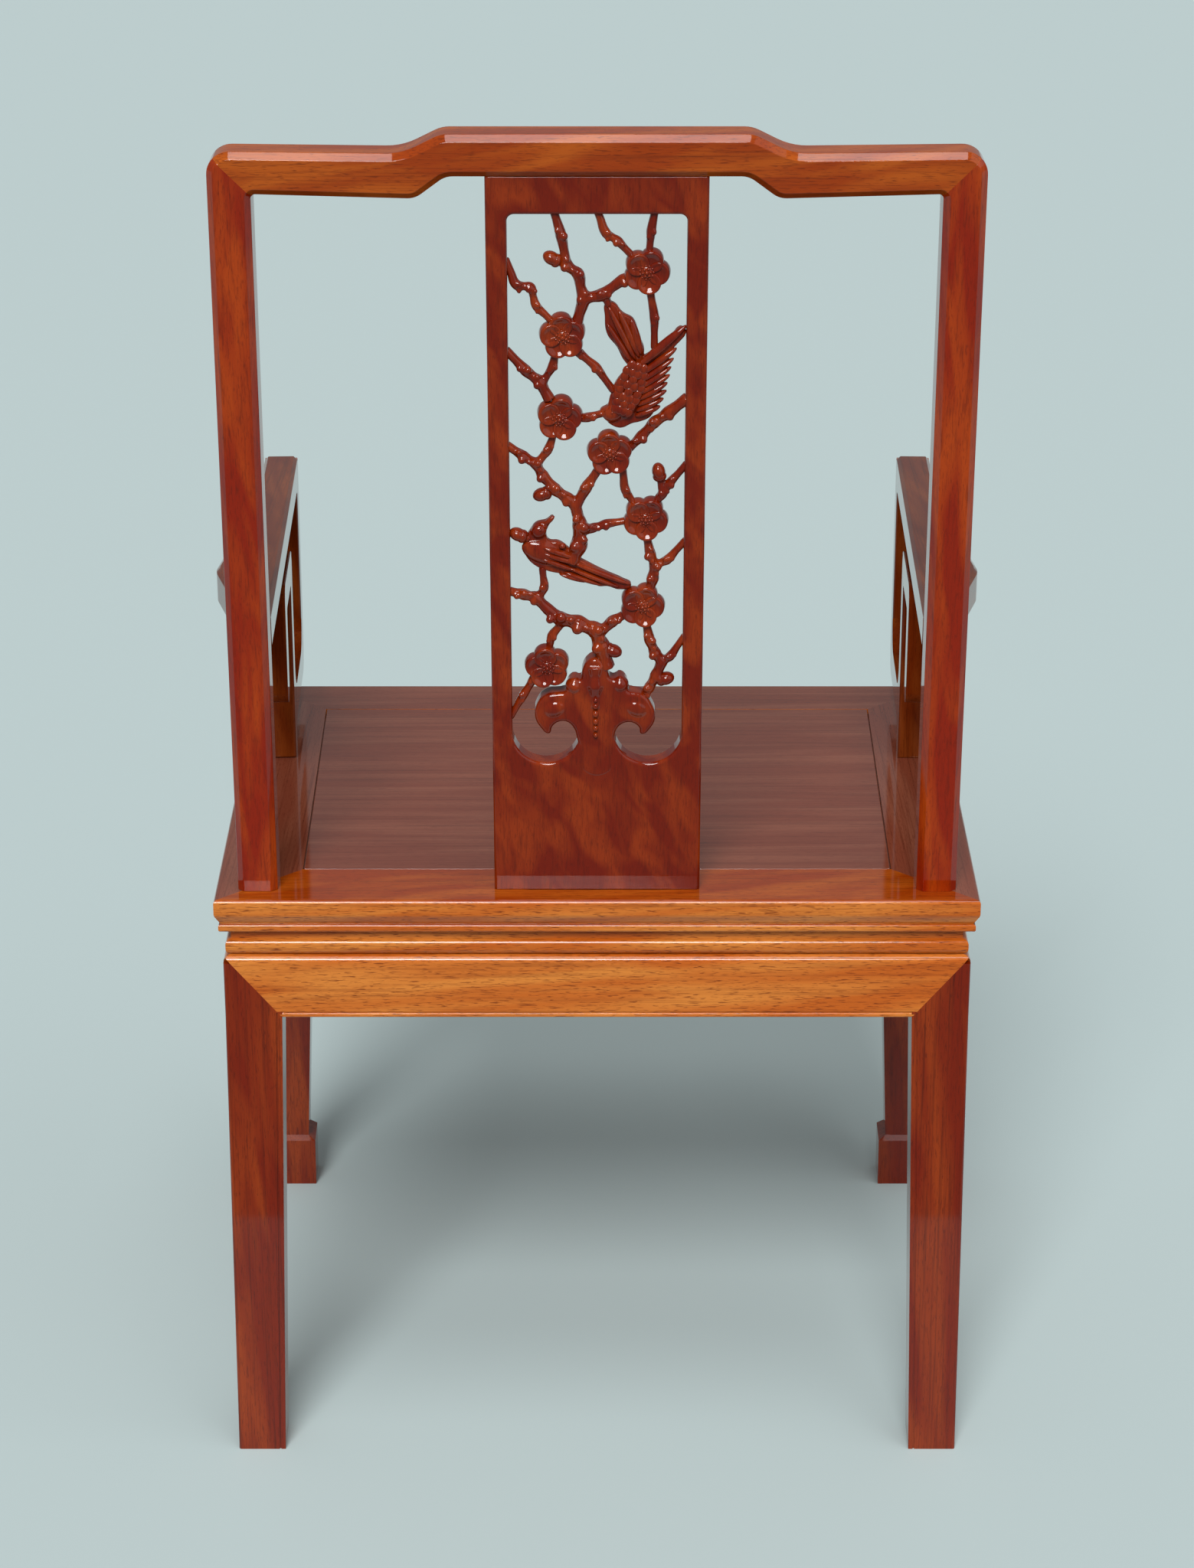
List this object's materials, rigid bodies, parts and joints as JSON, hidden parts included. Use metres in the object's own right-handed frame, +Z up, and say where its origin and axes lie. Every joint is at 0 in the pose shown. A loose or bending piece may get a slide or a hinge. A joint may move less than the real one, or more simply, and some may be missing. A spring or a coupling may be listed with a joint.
{
  "type": "carved armchair",
  "caption": "Hardwood armchair with a mitred panel seat, waist and aprons, tapered legs, scroll arms, stepped crest rail and a pierced splat of plum branches and birds.",
  "frame": {"origin": "centre of the chair's bounding box, at the floor under the feet", "axes": "+Z up; -Y the front of the seat; +X the sitter's left"},
  "size_m": [0.585, 0.517, 1.0207],
  "materials": {
    "frame_wood": "Rosewood in golden brown with dark streaks, lacquered gloss",
    "back_wood": "Rosewood in red brown with ribbon grain, lacquered gloss",
    "leg_wood": "Rosewood in red brown, lacquered gloss",
    "splat_wood": "Rosewood in deep red brown, lacquered gloss",
    "panel_wood": "Rosewood in brown, lacquered and polished",
    "arm_wood": "Rosewood in red brown, lacquered gloss"
  },
  "bodies": {
    "root": {"apron_front": "frame_wood", "apron_left": "frame_wood", "apron_rear": "frame_wood", "apron_right": "frame_wood", "arm_front_post_left": "arm_wood", "arm_front_post_right": "arm_wood", "arm_hook_left": "arm_wood", "arm_hook_right": "arm_wood", "arm_lower_rail_left": "arm_wood", "arm_lower_rail_right": "arm_wood", "arm_rail_left": "arm_wood", "arm_rail_right": "arm_wood", "arm_stem_left": "arm_wood", "arm_stem_right": "arm_wood", "crest_rail": "back_wood", "leg_front_left": "leg_wood", "leg_front_right": "leg_wood", "leg_rear_left": "leg_wood", "leg_rear_right": "leg_wood", "seat_batten_left": "panel_wood", "seat_batten_right": "panel_wood", "seat_panel": "panel_wood", "seat_rail_front": "frame_wood", "seat_rail_left": "frame_wood", "seat_rail_rear": "frame_wood", "seat_rail_right": "frame_wood", "splat": "splat_wood", "stile_left": "back_wood", "stile_right": "back_wood", "waist_front": "frame_wood", "waist_left": "frame_wood", "waist_rear": "frame_wood", "waist_right": "frame_wood"}
  },
  "joints": []
}
